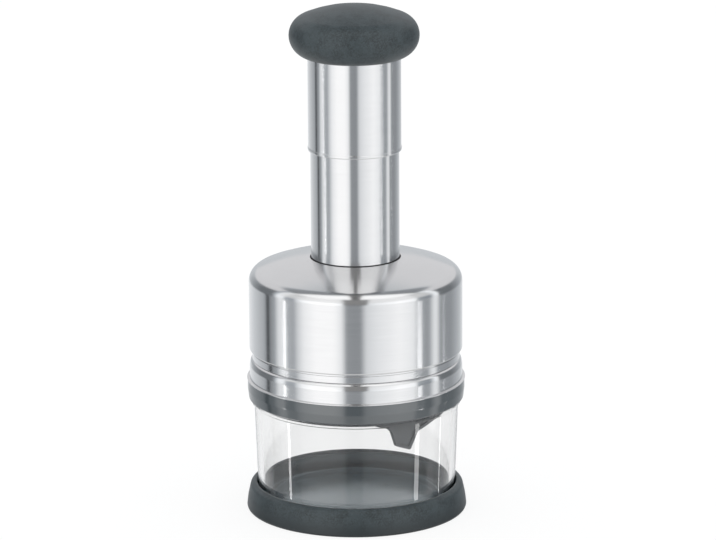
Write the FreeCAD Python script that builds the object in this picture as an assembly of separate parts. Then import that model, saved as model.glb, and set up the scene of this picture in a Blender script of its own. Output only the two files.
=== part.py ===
import FreeCAD, Part
import math
import os

# Plunger food chopper: a knob on a sleeve is pressed down over a guide tube, and a zigzag blade goes down
# through a slotted stripper into a clear chamber, turning a little at each press.
# Millimetres, Z up, upright axis through the origin, table at height 0. Angles run from the front, -Y, to +X.

# Base: a hard dish in a soft foot
FOOT_SOLE = 1.2
FOOT_SOLE_WIDTH = 9.0
FOOT_TOE_INSET = 0.5
FOOT_SWELL = 2.35
FOOT_SWELL_HEIGHT = 1.1
FOOT_SHOULDER_HEIGHT = 5.8
FOOT_SHOULDER_INSET = 0.35
FOOT_SHOULDER_ROUND = 22.0
FOOT_TOE_ROUND = 0.8
LIP_COVER = 1.6
LIP_SIDE = 0.5
LIP_ROUND = 0.7
DISH_FLOOR = 2.0
DISH_WALL = 1.2
DISH_WALL_HEIGHT = 7.5
DISH_CORNER_ROUND = 0.4
DISH_RIB_HEIGHT = 0.8
DISH_RIB_WIDTH = 0.8
DISH_RIB_GAP = 0.6
DISH_GROOVE_DEPTH = 0.4
DISH_GROOVE_WIDTH = 0.8
DISH_GROOVE_GAP = 2.0
STAND_GAP = 0.4

# Clear container, wider at the top, with a bead and a neck
CHAMBER_RADIUS = 43.05
CONTAINER_WALL = 2.9
CONTAINER_DRAFT = 0.85
CONTAINER_HEIGHT = 46.2
CONTAINER_EDGE_ROUND = 0.7
BEAD_OUT = 0.5
BEAD_HEIGHT = 2.5
BEAD_ROUND = 0.5
NECK_WALL = 2.15
NECK_HEIGHT = 5.1

# Collar, seal, retainer and trim band
NECK_GAP = 0.35
COLLAR_WALL = 2.7
COLLAR_HEIGHT = 9.0
COLLAR_BOTTOM_ROUND = 1.5
SPIGOT_WALL = 1.1
SPIGOT_SHORT = 1.5
SEAL_THICKNESS = 0.8
SEAL_SIDE_GAP = 0.1
RETAINER_THICKNESS = 0.75
RETAINER_GROOVE = 1.0
RETAINER_FIT = 0.1
SHEET = 0.8
BAND_HEIGHT = 9.6
BAND_WAIST_HEIGHT = 5.1
BAND_WAIST_INSET = 0.45
BAND_WAIST_ROUND = 22.0
BAND_LIP_OUT = 0.25
BAND_LIP_HEIGHT = 0.9
BAND_TOP_INSET = 0.6
BAND_SHOULDER_ROUND = 2.0
BAND_REACH = 0.15
NECK_RING_HEIGHT = 3.3
NECK_RING_OUT = 0.75
NECK_RING_ROUND = 0.7
NECK_GROOVE = 0.9
NECK_GROOVE_OUT = 0.15

# Inner housing and dome
HOUSING_FIT = 0.05
HOUSING_WALL = 2.2
HOUSING_PLATE = 2.0
HOUSING_PLATE_DROP = 3.1
HOUSING_TOP_ROUND = 6.0
HOUSING_CORNER_ROUND = 2.0
HOUSING_RIBS = 8
HOUSING_RIB_DEPTH = 2.0
HOUSING_RIB_WIDTH = 1.6
HOUSING_RIB_START = 3.0
HUB_FLOOR = 2.0
HUB_HOLE_GAP = 1.2
TUBE_SOCKET = 4.2
BOSS_BORDER = 1.0
DOME_GAP = 1.0
DOME_CURL_ROUND = 1.6
DOME_CURL_REACH = 0.1
DOME_FILLET = 6.0
DOME_RISE_OVER_FLANGE = 2.8
DOME_CROWN_RADIUS = 34.0
DOME_CROWN_DROP = 1.8
DOME_CROWN_ROUND = 200.0
DOME_RIM_DROP = 6.6

# Guide tube with its flange, gasket, bush and screws
GUIDE_RADIUS = 19.95
GUIDE_WALL = 0.9
FLANGE_THICKNESS = 1.0
FLANGE_WIDTH = 7.0
GASKET_WIDTH = 0.45
GASKET_FOOT = 1.1
GASKET_FOOT_HEIGHT = 1.0
GASKET_DOME_FIT = 0.1
GUIDE_OVERLAP = 10.5
BUSH_HEAD = 8.0
BUSH_SPIGOT = 8.0
BUSH_WALL = 2.5
BUSH_RUNNING_FIT = 0.1
BUSH_ROUND = 0.8
SCREW_COUNT = 3
SCREW_RADIUS = 1.1
SCREW_LENGTH = 4.5
SCREW_HEAD_RADIUS = 1.9
SCREW_HEAD_HEIGHT = 0.7
SCREW_INSET = 2.6
PIN_COUNT = 3
PIN_RADIUS = 1.1
PIN_SHORT = 0.2
PIN_RISE = 3.6

# Sleeve and knob
SLEEVE_WALL = 0.75
SLEEVE_STOP_GAP = 2.5
SLEEVE_ROLL = 0.2
SLEEVE_ROLL_HEIGHT = 1.3
SLEEVE_ROLL_ROUND = 0.35
KNOB_OVERHANG = 8.3
KNOB_CROWN_HEIGHT = 13.6
KNOB_RIM_ROUND = 8.0
KNOB_BELLY_ROUND = 12.0
KNOB_RIM_DROP = 5.3
KNOB_SKIN = 3.2
KNOB_MOUTH_GAP = 0.3
KNOB_MOUTH_LAND = 0.3
CORE_SKIRT_HEIGHT = 12.0
CORE_PLATE = 2.2
CORE_POCKET_RADIUS = 7.5
CORE_STOP_GAP = 0.7

# Blade, carrier and stroke
STROKE = 46.8
BLADE_FLOOR_GAP = 0.3
BLADE_THICKNESS = 0.9
BLADE_REACH = 36.0
BLADE_LEGS = 5
BLADE_SIDE_INSET = 3.0
BLADE_BEND = 2.2
BLADE_BEVEL_HEIGHT = 2.2
BLADE_EDGE = 0.16
BLADE_SEAT_DEPTH = 2.3
BLADE_SEAT_FIT = 0.02
CARRIER_GAP = 0.9
CARRIER_RIM = 1.6
CARRIER_PLATE = 3.4
CARRIER_ROUND = 0.8
CARRIER_HOLE_RADIUS = 3.0
CARRIER_HOLES = ((-17.0, -23.0), (17.0, 23.0), (7.0, -24.0), (-7.0, 24.0))
CARRIER_HUB_WALL = 5.5
CARRIER_HUB_RISE = 2.8
CARRIER_WEB = 0.7
BUMP_THICKNESS = 1.2
BUMP_WIDTH = 3.6
HUB_PIN_RADIUS = 0.9
HUB_PIN_DROP = 2.0

# Stripper: slotted disc, cup wall, flange and wall scraper
STRIPPER_DROP = 2.0
STRIPPER_DISC = 2.0
STRIPPER_WALL = 1.6
STRIPPER_GAP = 0.9
STRIPPER_FLANGE = 1.2
STRIPPER_FLANGE_GAP = 1.1
STRIPPER_TURN_GAP = 0.35
STRIPPER_RETAINER_GAP = 0.4
SLOT_GAP = 0.45
SLOT_END_GAP = 0.6
SCRAPER_THICKNESS = 2.0
SCRAPER_MIDDLE = 36.0
SCRAPER_LEFT_ROOT = 10.0
SCRAPER_LEFT = 20.6
SCRAPER_LEFT_TIP = 24.0
SCRAPER_RIGHT_TIP = 33.2
SCRAPER_RIGHT = 39.0
SCRAPER_RIGHT_ROOT = 62.0
SCRAPER_LEFT_RISE = 2.3
SCRAPER_LEFT_LENGTH = 10.4
SCRAPER_RIGHT_LENGTH = 12.9
SCRAPER_RIGHT_RISE = 4.9
SCRAPER_LEFT_ROUND = 4.5
SCRAPER_RIGHT_ROUND = 2.4
SCRAPER_TIP_ROUND = 0.9
SCRAPER_POCKET_DEPTH = 0.7
SCRAPER_POCKET_BORDER = 1.3

# Drive: rod with twisted grooves, nut with pegs, ratchet, washers and clip
ROD_RADIUS = 5.0
ROD_FIT = 0.1
ROD_TOP_RADIUS = 3.4
ROD_TOP_RISE = 3.7
TURN_PER_STROKE = 40.0
GROOVE_RADIUS = 1.35
GROOVE_OUT = 0.2
GROOVE_MARGIN = 8.0
PEG_RADIUS = 0.8
PEG_TIP_GAP = 0.55
PEG_ROOT = 0.8
NUT_RADIUS = 15.0
NUT_HEIGHT = 5.0
TOOTH_COUNT = 12
TOOTH_HEIGHT = 0.8
TOOTH_WIDTH = 4.4
TOOTH_START = 9.0
TOOTH_END = 14.0
TOOTH_GAP = 0.1
RATCHET_BASE = 1.2
RATCHET_RADIUS = 16.0
RATCHET_HOLE_GAP = 1.5
THRUST_THICKNESS = 0.8
THRUST_WIDTH = 2.0
CLIP_THICKNESS = 0.7
CLIP_GAP = 0.2
CLIP_GROOVE = 0.6
CLIP_WIDTH = 2.6

# Spring
SPRING_RADIUS = 11.5
SPRING_WIRE = 0.8
SPRING_TURNS = 14
SPRING_END_PITCH = 2.3
SEAT_PLATE = 1.0
SEAT_RIM = 1.0
SEAT_RIM_WIDTH = 1.0
SEAT_SIDE_GAP = 0.4
SEAT_ROD_GAP = 1.0

# Heights that follow from the sizes above
floor_z = FOOT_SOLE + DISH_FLOOR
bead_z = floor_z + CONTAINER_HEIGHT
seat_z = bead_z + BEAD_HEIGHT
neck_z = seat_z + NECK_HEIGHT
retainer_z = neck_z + SEAL_THICKNESS
turn_flange_z = retainer_z + RETAINER_THICKNESS + STRIPPER_TURN_GAP
housing_z = turn_flange_z + STRIPPER_FLANGE + STRIPPER_TURN_GAP
collar_top_z = seat_z + COLLAR_HEIGHT
band_top_z = collar_top_z + BAND_HEIGHT
dome_z = band_top_z + NECK_RING_HEIGHT
stripper_z = seat_z - STRIPPER_DROP
blade_z = floor_z + BLADE_FLOOR_GAP + STROKE
carrier_z = stripper_z + STRIPPER_DISC + CARRIER_GAP + STROKE
carrier_top_z = carrier_z + CARRIER_PLATE
carrier_hub_z = carrier_top_z + CARRIER_HUB_RISE
rod_z = carrier_z + BLADE_SEAT_DEPTH + CARRIER_WEB
hub_z = carrier_hub_z + BUMP_THICKNESS
hub_floor_z = hub_z + HUB_FLOOR
flange_z = hub_floor_z + TUBE_SOCKET
flange_top_z = flange_z + FLANGE_THICKNESS
dome_top_z = flange_top_z + DOME_RISE_OVER_FLANGE
sleeve_z = dome_top_z + SLEEVE_STOP_GAP + STROKE
guide_top_z = sleeve_z + GUIDE_OVERLAP
core_z = guide_top_z + CORE_STOP_GAP + STROKE
knob_rim_z = core_z - KNOB_RIM_DROP
tooth_z = hub_floor_z + RATCHET_BASE
nut_z = tooth_z + TOOTH_HEIGHT + TOOTH_GAP
nut_top_z = nut_z + NUT_HEIGHT
spring_z = nut_top_z + SEAT_PLATE
spring_top_z = core_z - SEAT_PLATE
rod_shoulder_z = core_z - THRUST_THICKNESS
clip_z = core_z + CORE_PLATE + CLIP_GAP
housing_top_z = flange_z - HOUSING_PLATE_DROP
dome_rim_z = dome_top_z - DOME_RIM_DROP

# Radii that follow from the sizes above
foot_in = CHAMBER_RADIUS + CONTAINER_WALL
lip_height = DISH_WALL_HEIGHT + LIP_COVER
dish_in = foot_in + CONTAINER_DRAFT * lip_height / CONTAINER_HEIGHT + STAND_GAP
dish_out = dish_in + DISH_WALL
foot_out = dish_out + FOOT_SWELL
chamber_top = CHAMBER_RADIUS + CONTAINER_DRAFT
container_top = foot_in + CONTAINER_DRAFT
bead_out = container_top + BEAD_OUT
neck_out = chamber_top + NECK_WALL
collar_in = neck_out + NECK_GAP
collar_out = collar_in + COLLAR_WALL
spigot_out = collar_in + SPIGOT_WALL
retainer_out = collar_in + RETAINER_GROOVE
housing_out = collar_in - HOUSING_FIT
housing_in = housing_out - HOUSING_WALL
dome_out = housing_out + DOME_GAP + SHEET
guide_in = GUIDE_RADIUS - GUIDE_WALL
flange_out = GUIDE_RADIUS + FLANGE_WIDTH
gasket_out = GUIDE_RADIUS + GASKET_WIDTH
dome_hole = gasket_out + GASKET_DOME_FIT
sleeve_in = GUIDE_RADIUS + BUSH_RUNNING_FIT + BUSH_RUNNING_FIT
sleeve_out = sleeve_in + SLEEVE_WALL
bush_out = sleeve_in - BUSH_RUNNING_FIT
knob_out = sleeve_out + KNOB_OVERHANG
bush_in = guide_in - BUSH_WALL
stripper_out = chamber_top - STRIPPER_GAP
stripper_in = stripper_out - STRIPPER_WALL
stripper_flange = collar_in - STRIPPER_FLANGE_GAP
retainer_in = stripper_out + STRIPPER_RETAINER_GAP
blade_pitch = 2 * (BLADE_REACH - BLADE_SIDE_INSET) / BLADE_LEGS
carrier_out = BLADE_REACH + CARRIER_RIM
hub_out = ROD_RADIUS + CARRIER_HUB_WALL
nut_bore = ROD_RADIUS + ROD_FIT
rod_top_bore = ROD_TOP_RADIUS + ROD_FIT
seat_in = ROD_RADIUS + SEAT_ROD_GAP
seat_out = SPRING_RADIUS + SPRING_WIRE + SEAT_SIDE_GAP + SEAT_RIM_WIDTH
twist_lead = STROKE * 360.0 / TURN_PER_STROKE

ORIGIN = FreeCAD.Vector(0, 0, 0)
UP = FreeCAD.Vector(0, 0, 1)
FRONT = FreeCAD.Vector(0, -1, 0)


def save(name, shape):
    """Write one sub-part to its own file"""
    shape.exportStep(os.path.join("parts", name + ".step"))
    print(name, len(shape.Solids), round(shape.Volume, 1))


def rounded_wire(corners):
    """Closed wire in the XZ plane through (x, z) or (x, z, rounding) corners"""
    points = [FreeCAD.Vector(c[0], 0, c[1]) for c in corners]
    rounds = [c[2] if len(c) > 2 else 0.0 for c in corners]
    starts, ends, middles = [], [], []
    for i, corner in enumerate(points):
        back = points[i - 1] - corner
        ahead = points[(i + 1) % len(points)] - corner
        room = 0.49 * min(back.Length, ahead.Length)
        back.normalize()
        ahead.normalize()
        half = back.getAngle(ahead) / 2
        if not rounds[i] or half > math.radians(89.9):
            starts.append(corner)
            ends.append(corner)
            middles.append(None)
            continue
        tangent = min(rounds[i] / math.tan(half), room)
        radius = tangent * math.tan(half)
        inward = (back + ahead).normalize()
        starts.append(corner + back * tangent)
        ends.append(corner + ahead * tangent)
        middles.append(corner + inward * (radius / math.sin(half) - radius))
    edges = []
    for i in range(len(points)):
        if middles[i]:
            edges.append(Part.Arc(starts[i], middles[i], ends[i]).toShape())
        following = starts[(i + 1) % len(points)]
        if (following - ends[i]).Length > 1e-6:
            edges.append(Part.makeLine(ends[i], following))
    return Part.Wire(edges)


def turned(corners):
    """Solid turned about the upright axis from its rounded outline"""
    return Part.Face(rounded_wire(corners)).revolve(ORIGIN, UP, 360)


def ring(inner, outer, low, high):
    """Plain ring or disc"""
    if inner > 0:
        return turned([(inner, low), (outer, low), (outer, high), (inner, high)])
    return Part.makeCylinder(outer, high - low, FreeCAD.Vector(0, 0, low))


def spin(shape, degrees):
    """Copy of a shape turned about the upright axis"""
    copy = shape.copy()
    copy.rotate(ORIGIN, UP, degrees)
    return copy


def around(shape, count):
    """Copies of a shape, evenly spaced about the upright axis"""
    return [spin(shape, i * 360.0 / count) for i in range(count)]


def radial_rod(radius, near, far, z):
    """Round rod that points out from the axis to the front"""
    return Part.makeCylinder(radius, far - near, FreeCAD.Vector(0, -near, z), FRONT)


def arc_to(start, tangent, end):
    """Arc from start to end that leaves along the tangent"""
    chord = end - start
    length = chord.Length
    along = chord * (1 / length)
    side = tangent - along * tangent.dot(along)
    angle = tangent.getAngle(chord)
    side.normalize()
    middle = (start + end) * 0.5 + side * (length / 2 * math.tan(angle / 2))
    return Part.Arc(start, middle, end).toShape()


def biarc(start, leaving, end, arriving):
    """Two tangent arcs between two points with given unit directions"""
    gap = end - start
    both = gap.dot(leaving + arriving)
    twist = 2 * (1 - leaving.dot(arriving))
    reach = (-both + math.sqrt(both * both + twist * gap.dot(gap))) / twist
    joint = (start + leaving * reach + end - arriving * reach) * 0.5
    first = arc_to(start, leaving, joint)
    second = arc_to(end, arriving * -1, joint)
    return [first, second]


def coil_path(radius, height_at, turns, steps, hand):
    """Wire of biarcs along a helix whose height is a function of the turn"""
    def place(turn):
        angle = hand * 2 * math.pi * turn
        return FreeCAD.Vector(radius * math.sin(angle), -radius * math.cos(angle), height_at(turn))

    def direction(turn):
        small = 1e-3
        return (place(turn + small) - place(turn - small)).normalize()

    edges = []
    for i in range(steps):
        a = turns * i / steps
        b = turns * (i + 1) / steps
        edges += biarc(place(a), direction(a), place(b), direction(b))
    return Part.Wire(edges)


def tube_along(path, radius):
    """Round solid along a wire"""
    start = path.Edges[0].Vertexes[0].Point
    tangent = path.Edges[0].tangentAt(path.Edges[0].FirstParameter)
    profile = Part.Wire(Part.makeCircle(radius, start, tangent))
    return path.makePipeShell([profile], True, False)


# Base

def foot_ring():
    """Soft foot: sole, swelling side and a lip over the dish"""
    swell_z = FOOT_SWELL_HEIGHT
    lip_z = floor_z + lip_height
    return turned([
        (foot_out - FOOT_SOLE_WIDTH, 0),
        (foot_out - FOOT_TOE_INSET, 0, FOOT_TOE_ROUND),
        (foot_out, swell_z, FOOT_TOE_ROUND),
        (foot_out - FOOT_SHOULDER_INSET, FOOT_SHOULDER_HEIGHT, FOOT_SHOULDER_ROUND),
        (dish_out + LIP_SIDE, lip_z, LIP_ROUND),
        (dish_in, lip_z, LIP_ROUND),
        (dish_in, lip_z - LIP_COVER),
        (dish_out, lip_z - LIP_COVER),
        (dish_out, FOOT_SOLE),
        (foot_out - FOOT_SOLE_WIDTH, FOOT_SOLE),
    ])


def base_dish():
    """Hard dish with a rib inside the container's foot and a groove round the cutting floor"""
    rib_out = CHAMBER_RADIUS - DISH_RIB_GAP
    rib_in = rib_out - DISH_RIB_WIDTH
    groove_out = rib_in - DISH_GROOVE_GAP
    rim_z = floor_z + DISH_WALL_HEIGHT
    return turned([
        (0, FOOT_SOLE),
        (dish_out, FOOT_SOLE),
        (dish_out, rim_z),
        (dish_in, rim_z),
        (dish_in, floor_z, DISH_CORNER_ROUND),
        (rib_out, floor_z),
        (rib_out, floor_z + DISH_RIB_HEIGHT, DISH_RIB_WIDTH / 3),
        (rib_in, floor_z + DISH_RIB_HEIGHT, DISH_RIB_WIDTH / 3),
        (rib_in, floor_z),
        (groove_out, floor_z),
        (groove_out, floor_z - DISH_GROOVE_DEPTH),
        (groove_out - DISH_GROOVE_WIDTH, floor_z - DISH_GROOVE_DEPTH),
        (groove_out - DISH_GROOVE_WIDTH, floor_z),
        (0, floor_z),
    ])


# Container

def container():
    """Clear chamber, open at both ends"""
    return turned([
        (CHAMBER_RADIUS, floor_z, CONTAINER_EDGE_ROUND),
        (foot_in, floor_z, CONTAINER_EDGE_ROUND),
        (container_top, bead_z, BEAD_ROUND),
        (bead_out, bead_z + BEAD_OUT, BEAD_ROUND),
        (bead_out, seat_z, BEAD_ROUND),
        (neck_out, seat_z),
        (neck_out, neck_z, CONTAINER_EDGE_ROUND),
        (chamber_top, neck_z, CONTAINER_EDGE_ROUND),
        (chamber_top, bead_z),
    ])


# Collar, seal, retainer, band and bead

def pin_holes():
    """Cutters for the pins that join collar and housing"""
    hole = radial_rod(PIN_RADIUS, housing_in, spigot_out + SHEET, collar_top_z + PIN_RISE)
    return around(hole, PIN_COUNT)


def collar():
    """Ring on the container's bead, with a spigot up into the band and a groove for the retainer"""
    body = turned([
        (collar_in, seat_z),
        (collar_out, seat_z, COLLAR_BOTTOM_ROUND),
        (collar_out, collar_top_z),
        (spigot_out, collar_top_z),
        (spigot_out, band_top_z - SPIGOT_SHORT),
        (collar_in, band_top_z - SPIGOT_SHORT),
        (collar_in, retainer_z + RETAINER_THICKNESS),
        (retainer_out, retainer_z + RETAINER_THICKNESS),
        (retainer_out, retainer_z),
        (collar_in, retainer_z),
    ])
    return body.cut(pin_holes())


def collar_pins():
    """Pins through collar and housing, as one group"""
    pin = radial_rod(PIN_RADIUS, housing_in, spigot_out - PIN_SHORT, collar_top_z + PIN_RISE)
    return Part.makeCompound(around(pin, PIN_COUNT))


def collar_seal():
    """Flat gasket over the neck"""
    return ring(chamber_top, collar_in - SEAL_SIDE_GAP, neck_z, retainer_z)


def stripper_retainer():
    """Snap ring under the stripper's flange"""
    top = retainer_z + RETAINER_THICKNESS
    return ring(retainer_in, retainer_out - RETAINER_FIT, retainer_z, top)


def trim_band():
    """Steel band with a waist and a rounded shoulder"""
    waist_z = collar_top_z + BAND_WAIST_HEIGHT
    waist = collar_out - BAND_WAIST_INSET
    top = collar_out - BAND_TOP_INSET
    reach = housing_out + BAND_REACH
    return turned([
        (collar_out - SHEET, collar_top_z),
        (collar_out + BAND_LIP_OUT, collar_top_z),
        (collar_out, collar_top_z + BAND_LIP_HEIGHT),
        (waist, waist_z, BAND_WAIST_ROUND),
        (top, band_top_z, BAND_SHOULDER_ROUND),
        (reach, band_top_z),
        (reach, band_top_z - SHEET),
        (top - SHEET, band_top_z - SHEET, BAND_SHOULDER_ROUND - SHEET),
        (waist - SHEET, waist_z, BAND_WAIST_ROUND),
    ])


def neck_ring():
    """Polished bead between band and dome, with a groove over it"""
    out = housing_out + NECK_RING_OUT
    groove = housing_out + NECK_GROOVE_OUT
    return turned([
        (housing_out, band_top_z),
        (out, band_top_z, NECK_RING_ROUND),
        (out, dome_z - NECK_GROOVE, NECK_RING_ROUND),
        (groove, dome_z - NECK_GROOVE),
        (groove, dome_z),
        (housing_out, dome_z),
    ])


# Housing and dome

def inner_housing():
    """Plastic body: wall, plate, hub with the tube's socket, inside ribs, holes for pins and screws"""
    boss_out = flange_out + BOSS_BORDER
    plate_z = housing_top_z - HOUSING_PLATE
    hole = ROD_RADIUS + HUB_HOLE_GAP
    body = turned([
        (housing_in, housing_z),
        (housing_out, housing_z),
        (housing_out, housing_top_z, HOUSING_TOP_ROUND),
        (boss_out, housing_top_z),
        (boss_out, flange_z),
        (GUIDE_RADIUS, flange_z),
        (GUIDE_RADIUS, hub_floor_z),
        (hole, hub_floor_z),
        (hole, hub_z),
        (boss_out, hub_z),
        (boss_out, plate_z),
        (housing_in, plate_z, HOUSING_CORNER_ROUND),
    ])
    rib_z = housing_z + HOUSING_RIB_START
    rib_length = HOUSING_RIB_DEPTH + HOUSING_WALL / 2
    corner = FreeCAD.Vector(-HOUSING_RIB_WIDTH / 2, -housing_in - HOUSING_WALL / 2, rib_z)
    rib = Part.makeBox(HOUSING_RIB_WIDTH, rib_length, plate_z + HOUSING_PLATE / 2 - rib_z, corner)
    body = body.fuse(around(spin(rib, 180.0 / HOUSING_RIBS), HOUSING_RIBS))
    return body.cut(pin_holes() + screw_shanks()).removeSplitter()


def dome_shell():
    """Drawn steel housing: curled bottom edge, tall wall, large fillet and a crowned top"""
    wall_in = dome_out - SHEET
    curl = housing_out + DOME_CURL_REACH
    crown_z = dome_top_z - DOME_CROWN_DROP
    return turned([
        (curl, dome_z),
        (dome_out, dome_z, DOME_CURL_ROUND),
        (dome_out, dome_rim_z, DOME_FILLET),
        (DOME_CROWN_RADIUS, crown_z, DOME_CROWN_ROUND),
        (dome_hole, dome_top_z),
        (dome_hole, dome_top_z - SHEET),
        (DOME_CROWN_RADIUS, crown_z - SHEET, DOME_CROWN_ROUND),
        (wall_in, dome_rim_z - SHEET, DOME_FILLET - SHEET),
        (wall_in, dome_z + SHEET, DOME_CURL_ROUND - SHEET),
        (curl, dome_z + SHEET),
    ])


# Guide tube and what it carries

def screw_shanks():
    """Screw shanks down through the flange"""
    place = FreeCAD.Vector(0, SCREW_INSET - flange_out, flange_top_z - SCREW_LENGTH)
    return around(Part.makeCylinder(SCREW_RADIUS, SCREW_LENGTH, place), SCREW_COUNT)


def flange_screws():
    """Pan-head screws, as one group"""
    place = FreeCAD.Vector(0, SCREW_INSET - flange_out, flange_top_z)
    heads = around(Part.makeCylinder(SCREW_HEAD_RADIUS, SCREW_HEAD_HEIGHT, place), SCREW_COUNT)
    return Part.makeCompound([shank.fuse(head) for shank, head in zip(screw_shanks(), heads)])


def guide_tube():
    """Fixed tube with a flange under the dome"""
    body = turned([
        (guide_in, hub_floor_z),
        (GUIDE_RADIUS, hub_floor_z),
        (GUIDE_RADIUS, flange_z),
        (flange_out, flange_z),
        (flange_out, flange_top_z),
        (GUIDE_RADIUS, flange_top_z),
        (GUIDE_RADIUS, guide_top_z - BUSH_HEAD),
        (guide_in, guide_top_z - BUSH_HEAD),
    ])
    return body.cut(screw_shanks())


def tube_gasket():
    """Black grommet between tube and dome"""
    foot = gasket_out + GASKET_FOOT
    top = dome_top_z - GASKET_DOME_FIT
    return turned([
        (GUIDE_RADIUS, flange_top_z),
        (foot, flange_top_z),
        (foot, flange_top_z + GASKET_FOOT_HEIGHT),
        (gasket_out, flange_top_z + GASKET_FOOT_HEIGHT),
        (gasket_out, top),
        (GUIDE_RADIUS, top),
    ])


def guide_bush():
    """Plastic bush in the tube's top end, on which the sleeve runs"""
    head_z = guide_top_z - BUSH_HEAD
    return turned([
        (bush_in, head_z - BUSH_SPIGOT),
        (guide_in, head_z - BUSH_SPIGOT),
        (guide_in, head_z),
        (bush_out, head_z),
        (bush_out, guide_top_z, BUSH_ROUND),
        (bush_in, guide_top_z, BUSH_ROUND),
    ])


# Sleeve and knob

def sleeve():
    """Moving tube with a rolled lower edge"""
    roll = sleeve_out + SLEEVE_ROLL
    roll_z = sleeve_z + SLEEVE_ROLL_HEIGHT
    return turned([
        (sleeve_in, sleeve_z, SLEEVE_ROLL_ROUND),
        (roll, sleeve_z, SLEEVE_ROLL_ROUND),
        (roll, roll_z, SLEEVE_ROLL_ROUND),
        (sleeve_out, roll_z + SLEEVE_ROLL),
        (sleeve_out, core_z),
        (sleeve_in, core_z),
    ])


def mushroom_edges(inset, foot_radius):
    """Crown, rim and belly arcs of the knob, set inwards by inset, down to foot_radius"""
    crown_z = KNOB_CROWN_HEIGHT
    rim_centre = knob_out - KNOB_RIM_ROUND
    crown = (KNOB_RIM_ROUND ** 2 - rim_centre ** 2 - crown_z ** 2) / (2 * (KNOB_RIM_ROUND - crown_z))
    crown_centre = crown_z - crown
    slope = math.atan2(-crown_centre, rim_centre)
    crown_in, rim_in, belly_in = crown - inset, KNOB_RIM_ROUND - inset, KNOB_BELLY_ROUND - inset
    belly_centre = knob_out - KNOB_BELLY_ROUND
    end_angle = math.acos((foot_radius - belly_centre) / belly_in)

    def at(centre, height, radius, angle):
        z = knob_rim_z + height + radius * math.sin(angle)
        return FreeCAD.Vector(centre + radius * math.cos(angle), 0, z)

    top = at(0, crown_centre, crown_in, math.pi / 2)
    join = at(rim_centre, 0, rim_in, slope)
    widest = at(rim_centre, 0, rim_in, 0)
    foot = at(belly_centre, 0, belly_in, -end_angle)
    upper = Part.Arc(top, at(0, crown_centre, crown_in, (math.pi / 2 + slope) / 2), join)
    rim = Part.Arc(join, at(rim_centre, 0, rim_in, slope / 2), widest)
    belly = Part.Arc(widest, at(belly_centre, 0, belly_in, -end_angle / 2), foot)
    return [upper.toShape(), rim.toShape(), belly.toShape()], top, foot


def mushroom(inset, foot_radius):
    """Solid of the knob's outer form, set inwards by inset"""
    edges, top, foot = mushroom_edges(inset, foot_radius)
    axis_foot = FreeCAD.Vector(0, 0, foot.z)
    edges += [Part.makeLine(foot, axis_foot), Part.makeLine(axis_foot, top)]
    return Part.Face(Part.Wire(edges)).revolve(ORIGIN, UP, 360)


def knob_grip():
    """Soft skin over the core, with a mouth round the sleeve"""
    mouth = sleeve_out + KNOB_MOUTH_GAP
    outer = mushroom(0, mouth + KNOB_MOUTH_LAND)
    bore = ring(0, mouth, outer.BoundBox.ZMin - 1, core_z - CORE_SKIRT_HEIGHT + 1)
    return outer.cut([core_blank(), bore])


def core_blank():
    """Outer form of the core, cut level at its skirt"""
    form = mushroom(KNOB_SKIN, sleeve_out)
    low = core_z - CORE_SKIRT_HEIGHT
    return form.common(ring(0, knob_out, low, knob_rim_z + KNOB_CROWN_HEIGHT))


def knob_core():
    """Hard core: bore for the sleeve, plate for the rod's top and a pocket for its clip"""
    high = knob_rim_z + KNOB_CROWN_HEIGHT
    sleeve_bore = ring(0, sleeve_out, core_z - CORE_SKIRT_HEIGHT - 1, core_z)
    rod_bore = ring(0, rod_top_bore, core_z - 1, high)
    pocket = ring(0, CORE_POCKET_RADIUS, core_z + CORE_PLATE, high)
    return core_blank().cut([sleeve_bore, rod_bore, pocket])


# Zigzag blade, carrier and stripper

def fold_centres():
    """Fold centres across the blade, with the side on which the strip passes each: 0 at the free ends"""
    folds = []
    for i in range(BLADE_LEGS + 1):
        x = (i - BLADE_LEGS / 2) * blade_pitch
        side = 1 if i % 2 else -1
        end = i in (0, BLADE_LEGS)
        bend = 0 if end else BLADE_BEND
        y = side * (math.sqrt(BLADE_REACH ** 2 - x * x) - bend)
        folds.append((FreeCAD.Vector(x, y, 0), 0 if end else side))
    return folds


def zigzag_wire(half_width, extra, z):
    """Closed outline of the folded strip at one height, longer by extra at both free ends"""
    folds = fold_centres()
    legs = []
    for (here, side), (there, next_side) in zip(folds, folds[1:]):
        span = there - here
        lean = math.asin(BLADE_BEND * (next_side - side) / span.Length)
        angle = math.atan2(span.y, span.x) + lean
        legs.append((FreeCAD.Vector(math.cos(angle), math.sin(angle), 0),
                     FreeCAD.Vector(-math.sin(angle), math.cos(angle), 0)))

    def edge_line(offset):
        edges = []
        for i, (along, left) in enumerate(legs):
            here, side = folds[i]
            there, next_side = folds[i + 1]
            start = here + left * (side * BLADE_BEND + offset)
            end = there + left * (next_side * BLADE_BEND + offset)
            if i == 0:
                start = start - along * extra
            if i == len(legs) - 1:
                end = end + along * extra
            edges.append(Part.makeLine(start, end))
            if i < len(legs) - 1:
                ahead = legs[i + 1][1]
                outward = ((left + ahead) * next_side).normalize()
                middle = there + outward * (BLADE_BEND + next_side * offset)
                finish = there + ahead * (next_side * BLADE_BEND + offset)
                edges.append(Part.Arc(end, middle, finish).toShape())
        return edges

    left_edges, right_edges = edge_line(half_width), edge_line(-half_width)
    caps = [Part.makeLine(left_edges[0].Vertexes[0].Point, right_edges[0].Vertexes[0].Point),
            Part.makeLine(left_edges[-1].Vertexes[-1].Point, right_edges[-1].Vertexes[-1].Point)]
    wire = Part.Wire(Part.__sortEdges__(left_edges + right_edges + caps))
    wire.translate(FreeCAD.Vector(0, 0, z))
    return wire


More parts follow.
